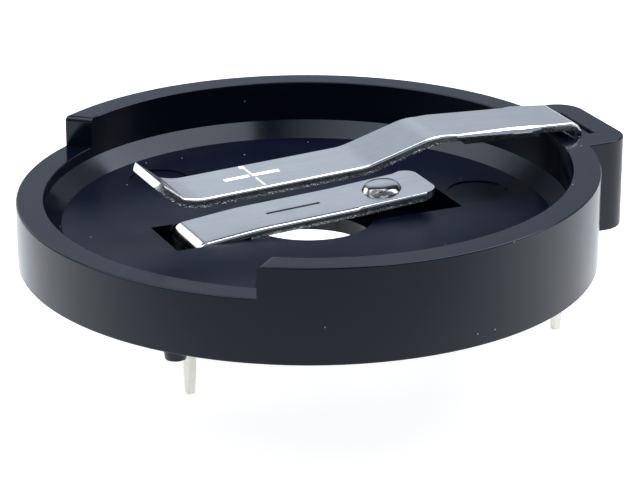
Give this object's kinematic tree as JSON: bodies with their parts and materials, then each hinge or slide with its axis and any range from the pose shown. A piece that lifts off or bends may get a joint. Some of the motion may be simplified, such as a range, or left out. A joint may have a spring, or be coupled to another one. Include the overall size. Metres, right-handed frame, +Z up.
{
  "type": "coin cell holder",
  "caption": "Round through-hole holder for a 20 mm coin cell: a moulded pocket with a low entry side, a spring contact over the cell and a spring contact under it.",
  "frame": {"origin": "on the axis of the round pocket, in the plane of the four feet's flat ends, which is the top of the circuit board", "axes": "+X from the pocket's axis to the block that holds the positive contact's leg, +Z up out of the board, +Y completes a right-handed frame; the pins point along -Z"},
  "size_m": [0.0245, 0.0228, 0.0097],
  "materials": {
    "housing": "semi-gloss black moulding",
    "contact": "satin plated strip"
  },
  "bodies": {
    "root": {"housing": "housing", "positive_contact": "contact", "negative_contact": "contact"}
  },
  "joints": []
}
